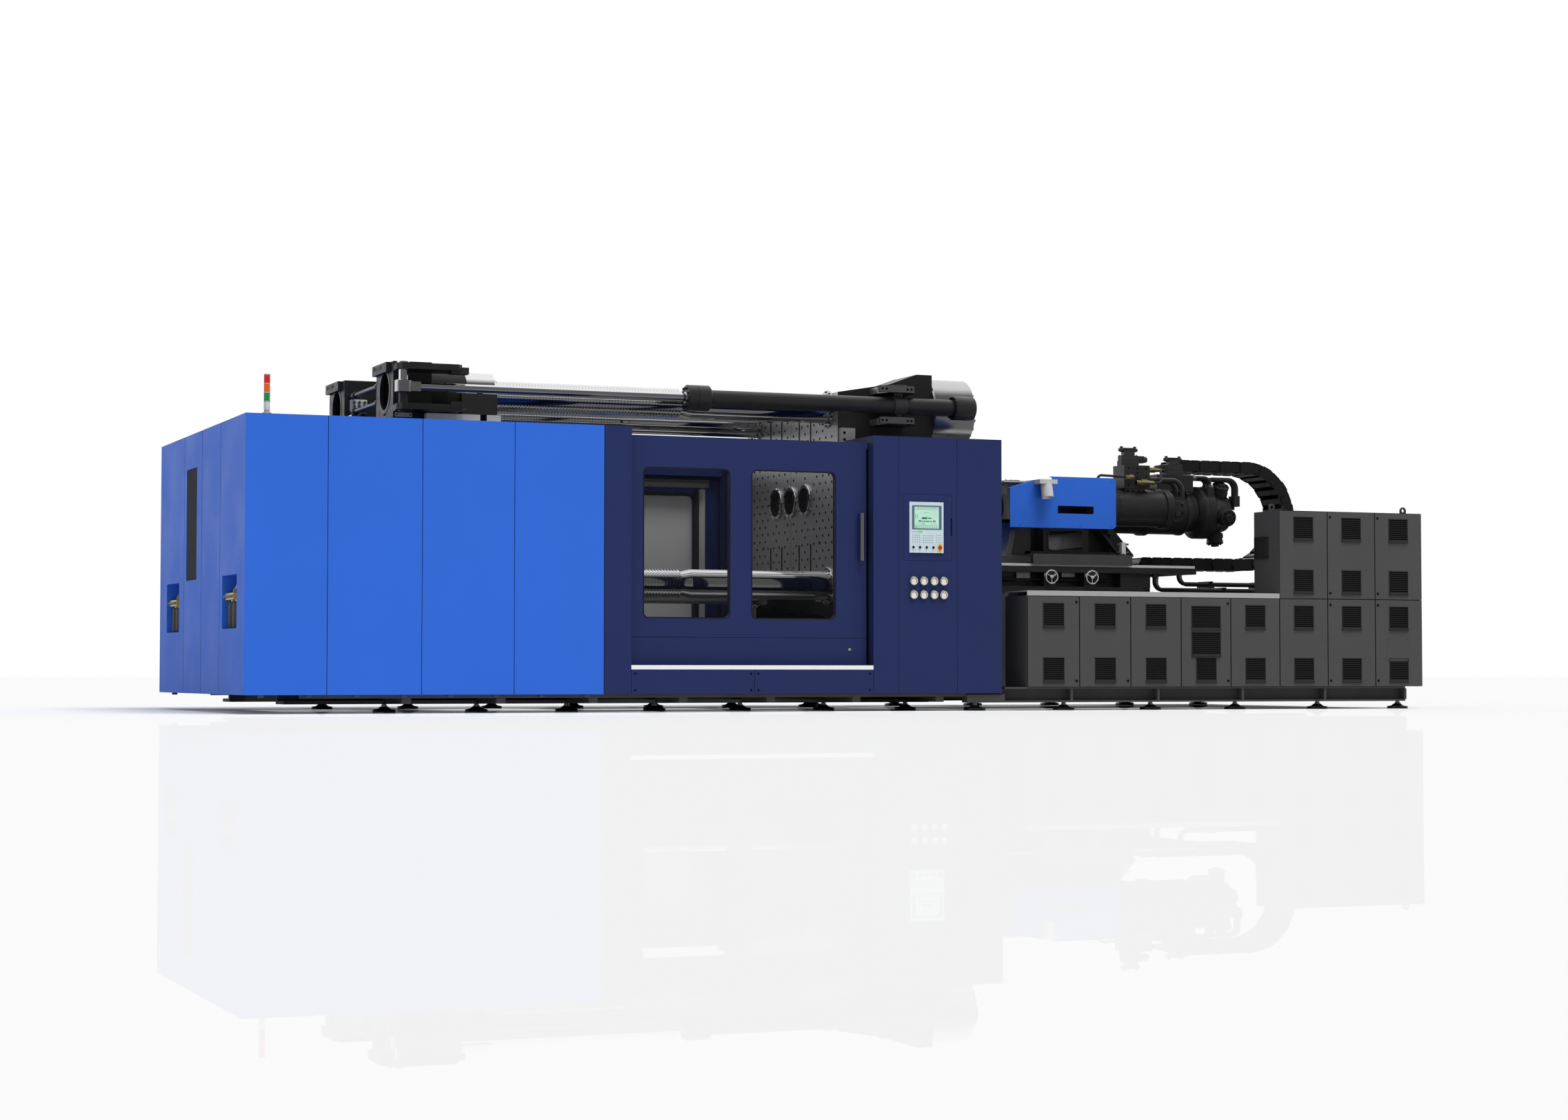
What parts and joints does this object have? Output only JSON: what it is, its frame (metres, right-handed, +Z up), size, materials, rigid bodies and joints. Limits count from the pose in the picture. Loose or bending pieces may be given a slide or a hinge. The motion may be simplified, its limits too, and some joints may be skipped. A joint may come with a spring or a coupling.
{
  "type": "injection moulding machine",
  "caption": "Horizontal two-platen injection moulding machine with sliding safety doors, tie-bar clamp, injection unit on rails and a row of louvred cabinets.",
  "frame": {"origin": "on the floor, under the middle of the machine's length and width", "axes": "+X from the clamp end to the injection end, -Y the operator side with the doors and the panel, +Z up"},
  "size_m": [11.724, 4.0232, 3.19],
  "materials": {
    "light_blue_paint": "powder coat, semi gloss",
    "dark_blue_paint": "powder coat, semi gloss",
    "door_paint": "powder coat, semi gloss",
    "cabinet_grey_paint": "fine textured powder coat",
    "base_grey_paint": "satin machine paint",
    "black_paint": "gloss machine paint",
    "platen_casting": "painted sides, machined faces",
    "ground_chrome": "ground and hard chromed",
    "bright_steel": "brushed",
    "checker_plate": "checker plate",
    "window_glass": "clear",
    "panel_white": "satin membrane panel",
    "button_black": "satin",
    "button_red": "gloss",
    "gauge_case": "polished case, white dial",
    "lamp_plastic": "translucent lamps",
    "chain_plastic": "moulded polyamide",
    "hose_rubber": "satin",
    "foot_steel": "blackened"
  },
  "bodies": {
    "frame": {"clamp_base_frame": "base_grey_paint", "levelling_feet": "foot_steel", "injection_base_frame": "base_grey_paint", "cover_panels_blue": "light_blue_paint", "end_panels": "light_blue_paint", "end_window": "window_glass", "cover_panels_dark": "dark_blue_paint", "door_rails": "bright_steel", "signal_tower": "lamp_plastic", "operator_column": "dark_blue_paint", "pressure_gauges": "gauge_case", "stationary_platen": "platen_casting", "tie_bars": "ground_chrome", "clamp_cylinders": "black_paint", "mould_cylinders": "black_paint", "lubrication_units": "base_grey_paint", "low_cabinet": "cabinet_grey_paint", "tall_cabinet": "cabinet_grey_paint", "walkway_plate": "checker_plate", "carriage_rails": "base_grey_paint", "hydraulic_pipes": "black_paint", "energy_chain": "chain_plastic"},
    "front_door": {"front_door": "door_paint", "front_windows": "window_glass"},
    "rear_door": {"rear_door": "door_paint", "rear_windows": "window_glass"},
    "moving_platen": {"moving_platen": "platen_casting", "half_nut_housings": "black_paint", "platen_rods": "ground_chrome"},
    "half_nuts_left": {"half_nuts_left": "bright_steel"},
    "half_nuts_right": {"half_nuts_right": "bright_steel"},
    "hmi_door": {"hmi_door": "dark_blue_paint", "hmi_panel": "panel_white"},
    "stop_button": {"stop_button": "button_red"},
    "carriage": {"carriage": "base_grey_paint", "feed_block": "bright_steel", "feed_cover": "light_blue_paint", "barrel": "black_paint", "injection_cylinders": "black_paint", "motor_hoses": "hose_rubber"},
    "drive_unit": {"drive_unit": "black_paint"},
    "screw": {"screw": "bright_steel"},
    "hopper_slide": {"hopper_slide": "bright_steel"},
    "handwheel_left": {"handwheel_left": "ground_chrome"},
    "handwheel_right": {"handwheel_right": "ground_chrome"},
    "selector_1": {"selector_1": "button_black"},
    "selector_2": {"selector_2": "button_black"},
    "selector_3": {"selector_3": "button_black"},
    "selector_4": {"selector_4": "button_black"},
    "low_door_1": {"low_door_1": "cabinet_grey_paint"},
    "low_door_2": {"low_door_2": "cabinet_grey_paint"},
    "low_door_3": {"low_door_3": "cabinet_grey_paint"},
    "low_door_4": {"low_door_4": "cabinet_grey_paint"},
    "low_door_5": {"low_door_5": "cabinet_grey_paint"},
    "low_door_6": {"low_door_6": "cabinet_grey_paint"},
    "low_door_7": {"low_door_7": "cabinet_grey_paint"},
    "low_door_8": {"low_door_8": "cabinet_grey_paint"},
    "high_door_1": {"high_door_1": "cabinet_grey_paint"},
    "high_door_2": {"high_door_2": "cabinet_grey_paint"},
    "high_door_3": {"high_door_3": "cabinet_grey_paint"}
  },
  "joints": [
    {"name": "front_door_slide", "type": "slide", "parent": "frame", "child": "front_door", "axis": [-1, 0, 0], "range_m": [0, 2.22]},
    {"name": "rear_door_slide", "type": "slide", "parent": "frame", "child": "rear_door", "axis": [-1, 0, 0], "range_m": [0, 2.22]},
    {"name": "platen_slide", "type": "slide", "parent": "frame", "child": "moving_platen", "axis": [1, 0, 0], "range_m": [0, 2.3]},
    {"name": "half_nuts_left_slide", "type": "slide", "parent": "moving_platen", "child": "half_nuts_left", "axis": [0, 1, 0], "range_m": [0, 0.0595]},
    {"name": "half_nuts_right_slide", "type": "slide", "parent": "moving_platen", "child": "half_nuts_right", "axis": [0, -1, 0], "range_m": [0, 0.0595]},
    {"name": "carriage_slide", "type": "slide", "parent": "frame", "child": "carriage", "axis": [1, 0, 0], "range_m": [-0.15, 0.25], "deforming": ["energy_chain"]},
    {"name": "drive_slide", "type": "slide", "parent": "carriage", "child": "drive_unit", "axis": [1, 0, 0], "range_m": [0, 0.45], "deforming": ["motor_hoses"]},
    {"name": "screw_spin", "type": "hinge", "parent": "drive_unit", "child": "screw", "pos_m": [3.21, 0, 2.012], "axis": [1, 0, 0], "continuous": true},
    {"name": "hopper_slide_travel", "type": "slide", "parent": "carriage", "child": "hopper_slide", "axis": [0, -1, 0], "range_m": [0, 0.728]},
    {"name": "handwheel_left_spin", "type": "hinge", "parent": "frame", "child": "handwheel_left", "pos_m": [2.354, -0.79, 1.294], "axis": [0, 1, 0], "continuous": true},
    {"name": "handwheel_right_spin", "type": "hinge", "parent": "frame", "child": "handwheel_right", "pos_m": [2.806, -0.79, 1.294], "axis": [0, 1, 0], "continuous": true},
    {"name": "hmi_door_hinge", "type": "hinge", "parent": "frame", "child": "hmi_door", "pos_m": [0.206, -1.9775, 1.6865], "axis": [0, 0, -1], "range_deg": [0, 100]},
    {"name": "stop_button_push", "type": "slide", "parent": "hmi_door", "child": "stop_button", "axis": [0, 1, 0], "range_m": [0, 0.006], "stiffness_N_per_m": 1200},
    {"name": "selector_1_turn", "type": "hinge", "parent": "hmi_door", "child": "selector_1", "pos_m": [0.291, -1.9895, 1.502], "axis": [0, 1, 0], "range_deg": [-45, 45]},
    {"name": "selector_2_turn", "type": "hinge", "parent": "hmi_door", "child": "selector_2", "pos_m": [0.358, -1.9895, 1.502], "axis": [0, 1, 0], "range_deg": [-45, 45]},
    {"name": "selector_3_turn", "type": "hinge", "parent": "hmi_door", "child": "selector_3", "pos_m": [0.426, -1.9895, 1.502], "axis": [0, 1, 0], "range_deg": [-45, 45]},
    {"name": "selector_4_turn", "type": "hinge", "parent": "hmi_door", "child": "selector_4", "pos_m": [0.494, -1.9895, 1.502], "axis": [0, 1, 0], "range_deg": [-45, 45]},
    {"name": "low_door_1_hinge", "type": "hinge", "parent": "frame", "child": "low_door_1", "pos_m": [1.476, -1.9775, 0.645], "axis": [0, 0, -1], "range_deg": [0, 90]},
    {"name": "low_door_2_hinge", "type": "hinge", "parent": "frame", "child": "low_door_2", "pos_m": [2.025, -1.9775, 0.645], "axis": [0, 0, -1], "range_deg": [0, 90]},
    {"name": "low_door_3_hinge", "type": "hinge", "parent": "frame", "child": "low_door_3", "pos_m": [3.111, -1.9775, 0.645], "axis": [0, 0, 1], "range_deg": [0, 90]},
    {"name": "low_door_4_hinge", "type": "hinge", "parent": "frame", "child": "low_door_4", "pos_m": [3.123, -1.9775, 0.645], "axis": [0, 0, -1], "range_deg": [0, 90]},
    {"name": "low_door_5_hinge", "type": "hinge", "parent": "frame", "child": "low_door_5", "pos_m": [4.209, -1.9775, 0.645], "axis": [0, 0, 1], "range_deg": [0, 90]},
    {"name": "low_door_6_hinge", "type": "hinge", "parent": "frame", "child": "low_door_6", "pos_m": [4.221, -1.9775, 0.645], "axis": [0, 0, -1], "range_deg": [0, 90]},
    {"name": "low_door_7_hinge", "type": "hinge", "parent": "frame", "child": "low_door_7", "pos_m": [5.307, -1.9775, 0.645], "axis": [0, 0, 1], "range_deg": [0, 90]},
    {"name": "low_door_8_hinge", "type": "hinge", "parent": "frame", "child": "low_door_8", "pos_m": [5.856, -1.9775, 0.645], "axis": [0, 0, 1], "range_deg": [0, 90]},
    {"name": "high_door_1_hinge", "type": "hinge", "parent": "frame", "child": "high_door_1", "pos_m": [4.221, -1.9775, 1.502], "axis": [0, 0, -1], "range_deg": [0, 90]},
    {"name": "high_door_2_hinge", "type": "hinge", "parent": "frame", "child": "high_door_2", "pos_m": [5.307, -1.9775, 1.502], "axis": [0, 0, 1], "range_deg": [0, 90]},
    {"name": "high_door_3_hinge", "type": "hinge", "parent": "frame", "child": "high_door_3", "pos_m": [5.856, -1.9775, 1.502], "axis": [0, 0, 1], "range_deg": [0, 90]}
  ],
  "couplings": [
    {"joint": "half_nuts_right_slide", "follows": "half_nuts_left_slide", "ratio": 1}
  ]
}
